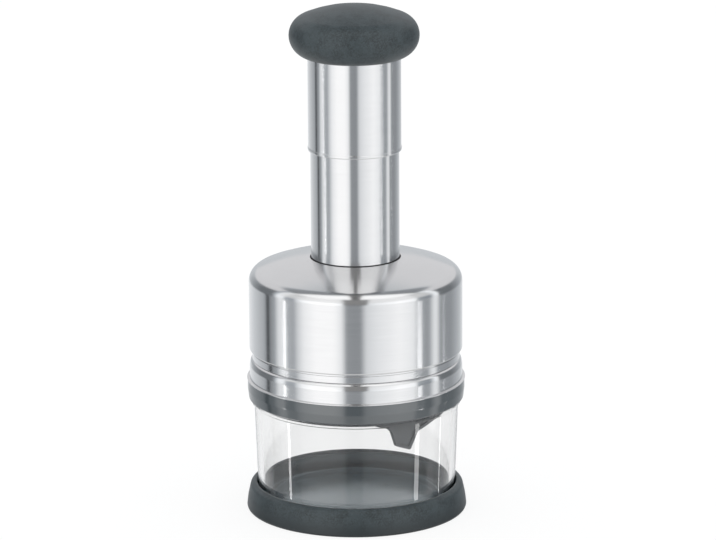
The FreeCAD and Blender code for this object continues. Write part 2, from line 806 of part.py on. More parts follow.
def zigzag_solid(half_width, extra, low, high):
    """Upright solid of the folded strip"""
    face = Part.Face(zigzag_wire(half_width, extra, low))
    return face.extrude(FreeCAD.Vector(0, 0, high - low))


def chopping_blade():
    """Folded strip with a ground edge"""
    half = BLADE_THICKNESS / 2
    ground_z = blade_z + BLADE_BEVEL_HEIGHT
    edge = zigzag_wire(BLADE_EDGE / 2, 0, blade_z)
    ground = Part.makeLoft([edge, zigzag_wire(half, 0, ground_z)], True, True)
    strip = zigzag_solid(half, 0, ground_z, carrier_z + BLADE_SEAT_DEPTH)
    return ground.fuse(strip).removeSplitter()


def hub_pin_rod(extra):
    """Cross pin through hub and rod, or its hole"""
    length = 2 * (hub_out + extra)
    place = FreeCAD.Vector(-length / 2, 0, carrier_hub_z - HUB_PIN_DROP)
    return Part.makeCylinder(HUB_PIN_RADIUS, length, place, FreeCAD.Vector(1, 0, 0))


def blade_carrier():
    """Disc with a zigzag seat for the blade, drain holes and a hub for the rod"""
    body = turned([
        (0, carrier_z),
        (carrier_out, carrier_z, CARRIER_ROUND),
        (carrier_out, carrier_top_z, CARRIER_ROUND),
        (hub_out, carrier_top_z, CARRIER_ROUND),
        (hub_out, carrier_hub_z),
        (ROD_RADIUS, carrier_hub_z),
        (ROD_RADIUS, rod_z),
        (0, rod_z),
    ])
    seat = zigzag_solid(BLADE_THICKNESS / 2 + BLADE_SEAT_FIT, BLADE_SEAT_FIT,
                        carrier_z - 1, carrier_z + BLADE_SEAT_DEPTH)
    height = CARRIER_PLATE + 2
    drains = [Part.makeCylinder(CARRIER_HOLE_RADIUS, height, FreeCAD.Vector(x, y, carrier_z - 1))
              for x, y in CARRIER_HOLES]
    return body.cut([seat, hub_pin_rod(1)] + drains)


def bump_washer():
    """Soft washer on the hub, which meets the housing at the end of the return stroke"""
    return ring(ROD_RADIUS + ROD_FIT, ROD_RADIUS + BUMP_WIDTH, carrier_hub_z, hub_z)


def scraper():
    """Tongue that hangs from the stripper along the chamber wall, with a pocket in its outer face"""
    inner = stripper_out - SCRAPER_THICKNESS
    middle = stripper_out - SCRAPER_THICKNESS / 2
    root_z = stripper_z + STRIPPER_DISC / 2

    def across(degrees):
        return middle * math.sin(math.radians(degrees - SCRAPER_MIDDLE))

    outline = rounded_wire([
        (across(SCRAPER_LEFT_ROOT), root_z),
        (across(SCRAPER_LEFT_ROOT), stripper_z),
        (across(SCRAPER_LEFT), stripper_z - SCRAPER_LEFT_RISE, SCRAPER_LEFT_ROUND),
        (across(SCRAPER_LEFT_TIP), stripper_z - SCRAPER_LEFT_LENGTH, SCRAPER_TIP_ROUND),
        (across(SCRAPER_RIGHT_TIP), stripper_z - SCRAPER_RIGHT_LENGTH, SCRAPER_TIP_ROUND),
        (across(SCRAPER_RIGHT), stripper_z - SCRAPER_RIGHT_RISE, SCRAPER_RIGHT_ROUND),
        (across(SCRAPER_RIGHT_ROOT), stripper_z),
        (across(SCRAPER_RIGHT_ROOT), root_z),
    ])
    low = stripper_z - SCRAPER_RIGHT_LENGTH - 1
    pocket_band = ring(stripper_out - SCRAPER_POCKET_DEPTH, stripper_out + 1, low, stripper_z)
    pocket_line = outline.makeOffset2D(-SCRAPER_POCKET_BORDER)
    pocket = Part.Face(pocket_line).extrude(FRONT * stripper_out).common(spin(pocket_band, 0))
    blade = Part.Face(outline).extrude(FRONT * (stripper_out + 1)).common(ring(inner, stripper_out, low, root_z))
    return spin(blade.cut(pocket), SCRAPER_MIDDLE)


def stripper():
    """Turning cup: disc with the blade's zigzag slot, wall, flange and scraper"""
    body = turned([
        (0, stripper_z),
        (stripper_out, stripper_z),
        (stripper_out, turn_flange_z),
        (stripper_flange, turn_flange_z),
        (stripper_flange, turn_flange_z + STRIPPER_FLANGE),
        (stripper_in, turn_flange_z + STRIPPER_FLANGE),
        (stripper_in, stripper_z + STRIPPER_DISC, STRIPPER_WALL / 2),
        (0, stripper_z + STRIPPER_DISC),
    ])
    slot = zigzag_solid(BLADE_THICKNESS / 2 + SLOT_GAP, SLOT_END_GAP,
                        stripper_z - 1, stripper_z + STRIPPER_DISC + 1)
    return body.cut(slot).fuse(scraper()).removeSplitter()


# Drive

def peg_z():
    """Height of the nut's pegs"""
    return nut_z + NUT_HEIGHT / 2


def drive_rod():
    """Rod with two twisted grooves, a thinner top end and the clip's groove"""
    top_z = core_z + ROD_TOP_RISE
    clip_in = ROD_TOP_RADIUS - CLIP_GROOVE
    body = turned([
        (0, rod_z),
        (ROD_RADIUS, rod_z),
        (ROD_RADIUS, rod_shoulder_z),
        (ROD_TOP_RADIUS, rod_shoulder_z),
        (ROD_TOP_RADIUS, clip_z),
        (clip_in, clip_z),
        (clip_in, clip_z + CLIP_THICKNESS),
        (ROD_TOP_RADIUS, clip_z + CLIP_THICKNESS),
        (ROD_TOP_RADIUS, top_z),
        (0, top_z),
    ])
    low = peg_z() - GROOVE_MARGIN / 2
    length = STROKE + GROOVE_MARGIN
    path = coil_path(ROD_RADIUS + GROOVE_OUT, lambda turn: low + turn * twist_lead, length / twist_lead, 1, -1)
    groove = tube_along(path, GROOVE_RADIUS)
    phase = 360.0 * (peg_z() - low) / twist_lead
    return body.cut(around(spin(groove, phase), 2) + [hub_pin_rod(1)])


def teeth(flip):
    """Saw teeth of the ratchet ring, or those of the nut that lie on them"""
    half = TOOTH_WIDTH / 2
    low, high = tooth_z, tooth_z + TOOTH_HEIGHT
    if flip:
        shift = TOOTH_GAP
        outline = [(-half + shift, high + shift), (half - shift, high + shift), (half - shift, low + shift)]
    else:
        outline = [(-half, low), (half, low), (-half, high)]
    points = [FreeCAD.Vector(x, -TOOTH_START, z) for x, z in outline]
    tooth = Part.Face(Part.makePolygon(points + points[:1])).extrude(FRONT * (TOOTH_END - TOOTH_START))
    return around(tooth, TOOTH_COUNT)


def ratchet_ring():
    """Saw-toothed ring in the bottom of the tube"""
    base = ring(ROD_RADIUS + RATCHET_HOLE_GAP, RATCHET_RADIUS, hub_floor_z, tooth_z)
    return base.fuse(teeth(False)).removeSplitter()


def drive_nut():
    """Nut with teeth below and two pegs that ride in the rod's grooves"""
    body = ring(nut_bore, NUT_RADIUS, nut_z, nut_top_z)
    tip = ROD_RADIUS + GROOVE_OUT - GROOVE_RADIUS + PEG_TIP_GAP
    peg = radial_rod(PEG_RADIUS, tip, nut_bore + PEG_ROOT, peg_z())
    return body.fuse(around(peg, 2) + teeth(True)).removeSplitter()


def thrust_washer():
    """Washer between the rod's shoulder and the core"""
    return ring(rod_top_bore, ROD_TOP_RADIUS + THRUST_WIDTH, rod_shoulder_z, core_z)


def rod_clip():
    """Clip in the rod's top groove"""
    clip_in = ROD_TOP_RADIUS - CLIP_GROOVE
    return ring(clip_in, ROD_TOP_RADIUS + CLIP_WIDTH, clip_z, clip_z + CLIP_THICKNESS)


# Spring and its washers

def spring_washer(face_z, way):
    """Washer with a rim round the spring's end; way is +1 for the lower one and -1 for the upper one"""
    back_z = face_z - way * SEAT_PLATE
    rim_z = face_z + way * SEAT_RIM
    return turned([
        (seat_in, back_z),
        (seat_out, back_z),
        (seat_out, rim_z),
        (seat_out - SEAT_RIM_WIDTH, rim_z),
        (seat_out - SEAT_RIM_WIDTH, face_z),
        (seat_in, face_z),
    ])


def spring_height(turn):
    """Height of the spring's wire after so many turns: close end turns, open turns between"""
    low = spring_z + SPRING_WIRE
    high = spring_top_z - SPRING_WIRE
    open_pitch = (high - low - 2 * SPRING_END_PITCH) / (SPRING_TURNS - 2)
    if turn < 1:
        return low + turn * SPRING_END_PITCH
    if turn > SPRING_TURNS - 1:
        return high - (SPRING_TURNS - turn) * SPRING_END_PITCH
    return low + SPRING_END_PITCH + (turn - 1) * open_pitch


def main_spring():
    """Return spring as one unbroken wire"""
    path = coil_path(SPRING_RADIUS, spring_height, SPRING_TURNS, 2 * SPRING_TURNS, 1)
    per_turn = 24
    rows = range(per_turn * (SPRING_TURNS - 1))
    rise = [spring_height((i + per_turn) / per_turn) - spring_height(i / per_turn) for i in rows]
    print("spring: least gap to itself", round(min(rise) - 2 * SPRING_WIRE, 2))
    return tube_along(path, SPRING_WIRE)


def main():
    os.makedirs("parts", exist_ok=True)
    save("foot_ring", foot_ring())
    save("base_dish", base_dish())
    save("container", container())
    save("collar", collar())
    save("collar_pins", collar_pins())
    save("collar_seal", collar_seal())
    save("stripper_retainer", stripper_retainer())
    save("trim_band", trim_band())
    save("neck_ring", neck_ring())
    save("inner_housing", inner_housing())
    save("dome_shell", dome_shell())
    save("guide_tube", guide_tube())
    save("flange_screws", flange_screws())
    save("tube_gasket", tube_gasket())
    save("guide_bush", guide_bush())
    save("ratchet_ring", ratchet_ring())
    save("drive_nut", drive_nut())
    save("spring_seat", spring_washer(spring_z, 1))
    save("main_spring", main_spring())
    save("spring_cap", spring_washer(spring_top_z, -1))
    save("sleeve", sleeve())
    save("knob_core", knob_core())
    save("knob_grip", knob_grip())
    save("thrust_washer", thrust_washer())
    save("rod_clip", rod_clip())
    save("drive_rod", drive_rod())
    save("hub_pin", hub_pin_rod(0))
    save("bump_washer", bump_washer())
    save("blade_carrier", blade_carrier())
    save("chopping_blade", chopping_blade())
    save("stripper", stripper())


main()
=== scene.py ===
import bpy
import math
from mathutils import Matrix, Vector


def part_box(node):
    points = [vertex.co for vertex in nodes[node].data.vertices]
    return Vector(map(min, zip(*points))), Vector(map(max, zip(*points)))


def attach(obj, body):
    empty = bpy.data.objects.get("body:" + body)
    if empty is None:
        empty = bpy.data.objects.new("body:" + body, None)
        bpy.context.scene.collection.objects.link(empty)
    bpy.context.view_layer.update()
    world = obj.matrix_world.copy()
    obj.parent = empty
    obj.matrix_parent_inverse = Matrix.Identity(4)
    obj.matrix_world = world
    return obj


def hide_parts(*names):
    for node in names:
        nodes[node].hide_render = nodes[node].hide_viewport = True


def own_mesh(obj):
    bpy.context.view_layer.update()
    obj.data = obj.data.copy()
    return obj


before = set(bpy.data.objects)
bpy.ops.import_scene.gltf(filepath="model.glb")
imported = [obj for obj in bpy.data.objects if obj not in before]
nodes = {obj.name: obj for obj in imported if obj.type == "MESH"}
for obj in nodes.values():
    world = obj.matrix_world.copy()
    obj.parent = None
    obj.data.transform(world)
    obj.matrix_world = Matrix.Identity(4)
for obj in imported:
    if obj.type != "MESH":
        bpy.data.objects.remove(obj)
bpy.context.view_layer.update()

MM = 0.001

# Photograph: frame, pinhole camera and where it stands
PHOTO_WIDTH = 716
FOCAL_PIXELS = 4441
SENSOR = 36.0
CAMERA_DOWN = math.radians(14.7)
CAMERA_ROLL = math.radians(-0.33)
CAMERA_DISTANCE = 2000 * MM
CAMERA_NEAR = 10 * MM
CAMERA_FAR = 50
AIM = Vector((1.13, 0, 110.4)) * MM

# Round meshes: faces around, arc steps, sharp edges, and the share of a side that a rounding may take
AROUND = 256
ARC_STEP = math.radians(9)
ARC_LEAST = 3
SHARP = math.radians(32)
STRAIGHT = math.radians(89.5)
SIDE_SHARE = 0.49
ON_AXIS = 1e-7
FLAT_WEIGHT = 80


def low(node):
    """Height of a node's lowest point"""
    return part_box(node)[0].z


def top(node):
    """Height of a node's highest point"""
    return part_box(node)[1].z


def radius(node):
    """Outer radius of a node"""
    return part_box(node)[1].x


# Nodes and links of materials

class Shader:
    """A material's node tree, with short ways to add and link nodes"""

    def __init__(self, tree):
        self.tree = tree
        self.tree.nodes.clear()

    def node(self, kind, **values):
        made = self.tree.nodes.new(kind)
        for name, value in values.items():
            setattr(made, name, value)
        return made

    def link(self, source, target):
        self.tree.links.new(source, target)

    def put(self, target, value):
        """Set a socket to a number, or link it to another socket"""
        if isinstance(value, bpy.types.NodeSocket):
            self.link(value, target)
        else:
            target.default_value = value

    def math(self, operation, first, second=0.0, clamp=False):
        made = self.node("ShaderNodeMath", operation=operation, use_clamp=clamp)
        self.put(made.inputs[0], first)
        self.put(made.inputs[1], second)
        return made.outputs[0]

    def ease(self, value, start, end):
        """Smooth step from 0 at start to 1 at end"""
        made = self.node("ShaderNodeMapRange", interpolation_type="SMOOTHSTEP")
        self.put(made.inputs["Value"], value)
        made.inputs["From Min"].default_value = start
        made.inputs["From Max"].default_value = end
        return made.outputs["Result"]

    def spread(self, value, start, end):
        """A 0 to 1 value stretched over a range"""
        made = self.node("ShaderNodeMapRange")
        self.put(made.inputs["Value"], value)
        made.inputs["To Min"].default_value = start
        made.inputs["To Max"].default_value = end
        return made.outputs["Result"]

    def noise(self, vector, scale, detail=2.0, roughness=0.5):
        made = self.node("ShaderNodeTexNoise")
        self.link(vector, made.inputs["Vector"])
        made.inputs["Scale"].default_value = scale
        made.inputs["Detail"].default_value = detail
        made.inputs["Roughness"].default_value = roughness
        return made.outputs["Fac"]

    def mix(self, factor, first, second):
        """Mix of two colours"""
        made = self.node("ShaderNodeMix", data_type="RGBA")
        self.put(made.inputs[0], factor)
        self.put(made.inputs[6], first)
        self.put(made.inputs[7], second)
        return made.outputs[2]

    def bump(self, height, strength, distance):
        made = self.node("ShaderNodeBump")
        made.inputs["Strength"].default_value = strength
        made.inputs["Distance"].default_value = distance
        self.link(height, made.inputs["Height"])
        return made.outputs["Normal"]

    def place(self):
        """Object coordinates, in metres"""
        return self.node("ShaderNodeTexCoord").outputs["Object"]

    def surface(self, **values):
        """Principled surface with the named sockets set"""
        made = self.node("ShaderNodeBsdfPrincipled")
        for name, value in values.items():
            self.put(made.inputs[name.replace("_", " ")], value)
        output = self.node("ShaderNodeOutputMaterial")
        self.link(made.outputs[0], output.inputs["Surface"])
        return made


def material(name):
    made = bpy.data.materials.new(name)
    made.use_nodes = True
    return made, Shader(made.node_tree)


def tone(colour, amount):
    """A colour made lighter by an amount, or darker by a negative one"""
    return tuple(min(1.0, c * (1 + amount)) for c in colour) + (1.0,)


def grey(level):
    """Even grey, or a light of that level"""
    return (level, level, level, 1)


def ring_lines(s, fine, long):
    """Noise in fine lines round the axis: one over the other on a wall, one inside the other on a top"""
    parts = s.node("ShaderNodeSeparateXYZ")
    s.link(s.place(), parts.inputs[0])
    x, y, z = parts.outputs
    out = s.math("SQRT", s.math("ADD", s.math("MULTIPLY", x, x), s.math("MULTIPLY", y, y)))
    across = s.math("SUBTRACT", z, out)
    joined = s.node("ShaderNodeCombineXYZ")
    s.link(s.math("MULTIPLY", x, 1 / long), joined.inputs[0])
    s.link(s.math("MULTIPLY", y, 1 / long), joined.inputs[1])
    s.link(s.math("MULTIPLY", across, 1 / fine), joined.inputs[2])
    return s.noise(joined.outputs[0], scale=1.0, detail=4.0, roughness=0.6)


def brushed_steel(name, colour, rough, grain):
    """Sheet steel brushed round its axis"""
    made, s = material(name)
    lines = ring_lines(s, 0.5 * MM, 18 * MM)
    cloud = s.noise(s.place(), scale=90, detail=2)
    shade = s.mix(lines, tone(colour, -grain), tone(colour, grain))
    shade = s.mix(s.spread(cloud, 0, 0.5), shade, tone(colour, -grain / 2))
    tangent = s.node("ShaderNodeTangent", direction_type="RADIAL", axis="Z")
    s.surface(
        Base_Color=shade,
        Metallic=1.0,
        Roughness=s.spread(lines, rough - 0.05, rough + 0.06),
        Anisotropic=0.8,
        Anisotropic_Rotation=0.25,
        Tangent=tangent.outputs[0],
        Normal=s.bump(lines, strength=0.12, distance=0.02 * MM),
    )
    return made


def plain_steel(name, colour, rough):
    """Polished or drawn steel with faint draw lines"""
    made, s = material(name)
    lines = ring_lines(s, 0.8 * MM, 25 * MM)
    s.surface(
        Base_Color=s.mix(lines, tone(colour, -0.05), tone(colour, 0.05)),
        Metallic=1.0,
        Roughness=s.spread(lines, rough, rough + 0.06),
        Normal=s.bump(lines, strength=0.05, distance=0.01 * MM),
    )
    return made


# Heights between which painted shade darkens the foot towards the floor
FOOT_PAINTED_SHADE_TOP = 9 * MM
FOOT_PAINTED_SHADE_END = 1 * MM


def soft_grip():
    """Dark blue-grey soft plastic with a fine matte grain, and painted shade low on the foot"""
    made, s = material("soft_grip")
    base = (0.037, 0.049, 0.054)
    place = s.place()
    grain = s.noise(place, scale=1300, detail=4, roughness=0.7)
    cloud = s.noise(place, scale=140, detail=5, roughness=0.7)
    shade = s.mix(s.ease(cloud, 0.38, 0.62), tone(base, -0.3), tone(base, 0.3))
    shade = s.mix(s.ease(grain, 0.35, 0.75), shade, tone(base, 0.75))
    parts = s.node("ShaderNodeSeparateXYZ")
    s.link(place, parts.inputs[0])
    height = parts.outputs[2]
    # Painted shade: the foot's colour darkens towards the floor
    shade = s.mix(s.ease(height, FOOT_PAINTED_SHADE_TOP, FOOT_PAINTED_SHADE_END), shade, tone(base, -0.32))
    s.surface(
        Base_Color=shade,
        Roughness=s.spread(grain, 0.36, 0.5),
        Specular_IOR_Level=0.5,
        Normal=s.bump(grain, strength=0.2, distance=0.05 * MM),
    )
    return made


def gloss_grey():
    """Glossy grey moulded plastic of the collar"""
    made, s = material("gloss_grey")
    base = (0.064, 0.078, 0.086)
    place = s.place()
    flow = s.noise(place, scale=40, detail=3)
    peel = s.noise(place, scale=420, detail=2)
    s.surface(
        Base_Color=s.mix(flow, tone(base, -0.07), tone(base, 0.07)),
        Roughness=s.spread(flow, 0.09, 0.14),
        IOR=2.2,
        Normal=s.bump(peel, strength=0.04, distance=0.03 * MM),
    )
    return made


def dish_grey():
    """Grey plastic of the dish, with the fine rings that its mould left"""
    made, s = material("dish_grey")
    base = (0.018, 0.042, 0.054)
    lines = ring_lines(s, 0.7 * MM, 60 * MM)
    tangent = s.node("ShaderNodeTangent", direction_type="RADIAL", axis="Z")
    s.surface(
        Base_Color=s.mix(lines, tone(base, -0.16), tone(base, 0.16)),
        Roughness=s.spread(lines, 0.14, 0.24),
        IOR=2.1,
        Specular_Tint=(0.72, 0.9, 1.0, 1),
        Anisotropic=0.7,
        Anisotropic_Rotation=0.25,
        Tangent=tangent.outputs[0],
        Normal=s.bump(lines, strength=0.2, distance=0.05 * MM),
    )
    return made


def dark_plastic():
    """Satin dark plastic of the stripper and the inner pieces"""
    made, s = material("dark_plastic")
    base = (0.098, 0.11, 0.12)
    place = s.place()
    grain = s.noise(place, scale=2200, detail=3)
    flow = s.noise(place, scale=60, detail=2)
    s.surface(
        Base_Color=s.mix(flow, tone(base, -0.1), tone(base, 0.1)),
        Roughness=s.spread(grain, 0.34, 0.46),
        Normal=s.bump(grain, strength=0.06, distance=0.02 * MM),
    )
    return made


def seal_rubber():
    """Black rubber"""
    made, s = material("seal_rubber")
    base = (0.012, 0.012, 0.013)
    grain = s.noise(s.place(), scale=1800, detail=3)
    s.surface(
        Base_Color=s.mix(grain, tone(base, -0.2), tone(base, 0.3)),
        Roughness=s.spread(grain, 0.55, 0.7),
        Normal=s.bump(grain, strength=0.15, distance=0.04 * MM),
    )
    return made


def clear_plastic():
    """Clear plastic with a faint grey tint and fine wipe marks"""
    made, s = material("clear_plastic")
    place = s.place()
    wipe = s.noise(place, scale=130, detail=4, roughness=0.65)
    ripple = s.noise(place, scale=45, detail=2)
    s.surface(
        Base_Color=s.mix(wipe, (0.945, 0.948, 0.95, 1), (0.968, 0.97, 0.971, 1)),
        Roughness=s.spread(wipe, 0.0, 0.015),
        IOR=1.49,
        Transmission_Weight=1.0,
        Normal=s.bump(ripple, strength=0.02, distance=0.05 * MM),
    )
    return made


# Turned pieces

def rounded_line(corners):
    """Points of a closed (radius, height) outline whose corners may have a rounding"""
    points = [Vector(c[:2]) for c in corners]
    line = []
    for i, corner in enumerate(points):
        rounding = corners[i][2] if len(corners[i]) > 2 else 0
        back = points[i - 1] - corner
        ahead = points[(i + 1) % len(points)] - corner
        half = back.angle(ahead) / 2
        if not rounding or half > STRAIGHT:
            line.append(corner)
            continue
        room = SIDE_SHARE * min(back.length, ahead.length)
        back.normalize()
        ahead.normalize()
        tangent = min(rounding / math.tan(half), room)
        size = tangent * math.tan(half)
        centre = corner + (back + ahead).normalized() * (size / math.sin(half))
        start = corner + back * tangent - centre
        turn = start.angle_signed(corner + ahead * tangent - centre)
        steps = max(ARC_LEAST, math.ceil(abs(turn) / ARC_STEP))
        for k in range(steps + 1):
            line.append(centre + Matrix.Rotation(-turn * k / steps, 2) @ start)
    return line


def turned_mesh(name, line):
    """Mesh turned about the upright axis from (radius, height) points"""
    verts, faces, rings = [], [], []
    for point in line:
        if point.x < ON_AXIS:
            rings.append([len(verts)])
            verts.append((0, 0, point.y))
            continue
        rings.append(list(range(len(verts), len(verts) + AROUND)))
        for k in range(AROUND):
            angle = 2 * math.pi * k / AROUND
            verts.append((point.x * math.cos(angle), point.x * math.sin(angle), point.y))
    for first, second in zip(rings, rings[1:] + rings[:1]):
        if len(first) == 1 and len(second) == 1:
            continue
        for k in range(AROUND):
            after = (k + 1) % AROUND
            if len(first) == 1:
                faces.append((first[0], second[after], second[k]))
            elif len(second) == 1:
                faces.append((first[k], first[after], second[0]))
            else:
                faces.append((first[k], first[after], second[after], second[k]))
    mesh = bpy.data.meshes.new(name)
    mesh.from_pydata(verts, [], faces)
    mesh.validate()
    mesh.shade_smooth()
    mesh.set_sharp_from_angle(angle=SHARP)
    return mesh


def turned(name, node, body, finish, corners):
    """Finely turned piece from its outline's corners: radius, height and, where it has one, rounding"""
    return stand_in(name, node, body, finish, rounded_line(corners))


def stand_in(name, node, body, finish, line):
    """Finely turned piece that stands for a round node"""
    piece = bpy.data.objects.new(name, turned_mesh(name, line))
    bpy.context.scene.collection.objects.link(piece)
    piece.data.materials.append(finish)
    flat = piece.modifiers.new("flat_faces_first", "WEIGHTED_NORMAL")
    flat.keep_sharp = True
    flat.weight = FLAT_WEIGHT
    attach(piece, body)
    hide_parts(node)
    return piece


# Sizes that the outlines share
SHEET = 0.8 * MM
SOLE = low("base_dish")
DISH_OUT = radius("base_dish")
DISH_IN = DISH_OUT - 2.4 * MM
DISH_FLOOR = low("container")
SEAT = low("collar")
HOUSING = radius("inner_housing")
CHAMBER_IN = 41.9 * MM
CHAMBER_TOP = 43.9 * MM
CONTAINER_FOOT = 44.5 * MM
CONTAINER_TOP = 46.2 * MM
TUBE = 19.95 * MM
SLIT = TUBE + 0.35 * MM
DOME_FOOT = low("dome_shell") + 0.8 * MM


def foot(finish):
    """Soft foot: sole, side that leans in, and a lip over the dish"""
    out = radius("foot_ring")
    lip = top("foot_ring")
    sole_in = out - 9.0 * MM
    side_low = 1.1 * MM
    side_high = 5.4 * MM
    side_bow = 22 * MM
    turned("soft_foot", "foot_ring", "base", finish, [
        (sole_in, 0, 0.4 * MM),
        (out - 0.5 * MM, 0, 0.8 * MM),
        (out - 0.1 * MM, side_low, 0.8 * MM),
        (out - 0.6 * MM, side_high, side_bow),
        (DISH_OUT + 0.5 * MM, top("base_dish") + 0.2 * MM, 2.5 * MM),
        (DISH_OUT - 1.2 * MM, lip, 0.6 * MM),
        (DISH_IN, lip, 0.4 * MM),
        (DISH_IN, top("base_dish")),
        (DISH_OUT, top("base_dish")),
        (DISH_OUT, SOLE),
        (sole_in, SOLE),
    ])


def dish(finish):
    """Dish with a raised ring and a groove on its floor"""
    rib_out = 38.0 * MM
    rib_in = rib_out - 0.8 * MM
    rib_top = DISH_FLOOR + 2.6 * MM
    groove_out = rib_in - 0.6 * MM
    groove_in = groove_out - 0.8 * MM
    groove = DISH_FLOOR - 0.4 * MM
    turned("dish", "base_dish", "base", finish, [
        (0, SOLE),
        (DISH_OUT, SOLE, 0.3 * MM),
        (DISH_OUT, top("base_dish")),
        (DISH_IN, top("base_dish")),
        (DISH_IN, DISH_FLOOR, 0.4 * MM),
        (rib_out, DISH_FLOOR, 0.15 * MM),
        (rib_out, rib_top, 0.25 * MM),
        (rib_in, rib_top, 0.25 * MM),
        (rib_in, DISH_FLOOR, 0.15 * MM),
        (groove_out, DISH_FLOOR, 0.15 * MM),
        (groove_out, groove, 0.15 * MM),
        (groove_in, groove, 0.15 * MM),
        (groove_in, DISH_FLOOR, 0.15 * MM),
        (0, DISH_FLOOR),
    ])


def chamber(finish):
    """Clear tapered wall with a bead under the collar and a narrower neck"""
    out = radius("container")
    bead = SEAT - 2.5 * MM
    neck = CHAMBER_TOP + 2.15 * MM
    turned("chamber_wall", "container", "chamber", finish, [
        (CHAMBER_IN, DISH_FLOOR, 0.7 * MM),
        (CONTAINER_FOOT, DISH_FLOOR, 0.7 * MM),
        (CONTAINER_TOP, bead, 0.4 * MM),
        (out, bead + 0.5 * MM, 0.4 * MM),
        (out, SEAT, 0.5 * MM),
        (neck, SEAT, 0.2 * MM),
        (neck, top("container"), 0.6 * MM),
        (CHAMBER_TOP, top("container"), 0.6 * MM),
        (CHAMBER_TOP, bead, 6 * MM),
    ])


def collar(finish):
    """Collar with a rounded foot and a spigot up into the band"""
    out = radius("collar")
    inner = out - 2.7 * MM
    spigot = inner + 0.6 * MM
    shoulder = low("trim_band")
    turned("collar_ring", "collar", "head", finish, [
        (inner, SEAT, 0.2 * MM),
        (out - 0.5 * MM, SEAT, 0.7 * MM),
        (out, SEAT + 4.5 * MM, 5 * MM),
        (out, shoulder, 0.1 * MM),
        (spigot, shoulder),
        (spigot, top("collar")),
        (inner, top("collar")),
    ])


def band(finish):
    """Band with a rolled lip on the collar and a rounded shoulder"""
    lip = radius("trim_band")
    out = radius("collar") - 0.95 * MM
    wall = 0.6 * MM
    start = low("trim_band")
    reach = HOUSING + 0.15 * MM
    lid = top("trim_band")
    side = out - 0.05 * MM
    side_top = lid - 3.1 * MM
    brow = out - 0.6 * MM
    brow_top = lid - 0.9 * MM
    turned("band", "trim_band", "head", finish, [
        (out - wall, start),
        (lip, start, 0.1 * MM),
        (lip, start + 0.35 * MM, 0.1 * MM),
        (out, start + 0.6 * MM, 0.15 * MM),
        (side, side_top, 4.0 * MM),
        (brow, brow_top, 2.0 * MM),
        (reach, lid, 0.2 * MM),
        (reach, lid - wall),
        (brow - wall, brow_top - wall, 1.4 * MM),
        (side - wall, side_top, 3.4 * MM),
    ])


def bead(finish):
    """Polished half-round bead with a groove over it"""
    out = HOUSING + 0.6 * MM
    groove = DOME_FOOT - 0.9 * MM
    groove_floor = HOUSING + 0.15 * MM
    turned("neck_bead", "neck_ring", "head", finish, [
        (HOUSING, low("neck_ring")),
        (out, low("neck_ring"), 1.3 * MM),
        (out, groove, 1.3 * MM),
        (groove_floor, groove),
        (groove_floor, DOME_FOOT),
        (HOUSING, DOME_FOOT),
    ])


def dome(finish):
    """Sheet dome: curled foot, rounded rim, and a crown that rises to the tube's hole"""
    out = radius("dome_shell")
    curl = HOUSING + 0.1 * MM
    crown = top("dome_shell")
    rim = crown - 6.6 * MM
    middle = 34 * MM
    middle_top = crown - 1.8 * MM
    bow = 200 * MM
    turned("dome", "dome_shell", "head", finish, [
        (curl, DOME_FOOT),
        (out, DOME_FOOT, 1.6 * MM),
        (out, rim, 6.0 * MM),
        (middle, middle_top, bow),
        (SLIT, crown, 0.3 * MM),
        (SLIT, crown - SHEET),
        (middle, middle_top - SHEET, bow),
        (out - SHEET, rim - SHEET, 5.2 * MM),
        (out - SHEET, DOME_FOOT + SHEET, 0.8 * MM),
        (curl, DOME_FOOT + SHEET),
    ])


def tube_line(finish):
    """Thin seal in the slit between dome and tube"""
    foot_out = radius("tube_gasket")
    flange = low("tube_gasket")
    foot_top = flange + 1.0 * MM
    inner = TUBE + 0.02 * MM
    outer = SLIT - 0.02 * MM
    edge = top("dome_shell") + 0.3 * MM
    turned("tube_seal", "tube_gasket", "head", finish, [
        (inner, flange),
        (foot_out, flange, 0.2 * MM),
        (foot_out, foot_top, 0.3 * MM),
        (outer, foot_top),
        (outer, edge, 0.1 * MM),
        (inner, edge),
    ])


def tubes(finish):
    """Guide tube with its flange, and the sleeve with its rolled end"""
    flange = radius("guide_tube")
    flange_low = low("tube_gasket") - 1.0 * MM
    wall = 0.9 * MM
    turned("guide_tube_wall", "guide_tube", "head", finish, [
        (TUBE - wall, low("guide_tube")),
        (TUBE, low("guide_tube")),
        (TUBE, flange_low),
        (flange, flange_low),
        (flange, low("tube_gasket")),
        (TUBE, low("tube_gasket")),
        (TUBE, top("guide_tube")),
        (TUBE - wall, top("guide_tube")),
    ])
    roll = radius("sleeve")
    out = roll - 0.2 * MM
    inner = out - 0.75 * MM
    start = low("sleeve")
    turned("sleeve_wall", "sleeve", "plunger", finish, [
        (inner, start, 0.25 * MM),
        (roll, start, 0.45 * MM),
        (roll, start + 1.3 * MM, 0.35 * MM),
        (out, start + 1.5 * MM, 0.3 * MM),
        (out, top("sleeve")),
        (inner, top("sleeve")),
    ])


# The knob's arcs have twice as many steps as a rounding
KNOB_FINER = 2


def arc(centre, height, size, start, end):
    """Points of an arc in the (radius, height) plane, with its angles in degrees"""
    steps = math.ceil(math.radians(abs(end - start)) / ARC_STEP * KNOB_FINER)
    line = []
    for k in range(steps + 1):
        angle = math.radians(start + (end - start) * k / steps)
        line.append(Vector((centre + size * math.cos(angle), height + size * math.sin(angle))))
    return line


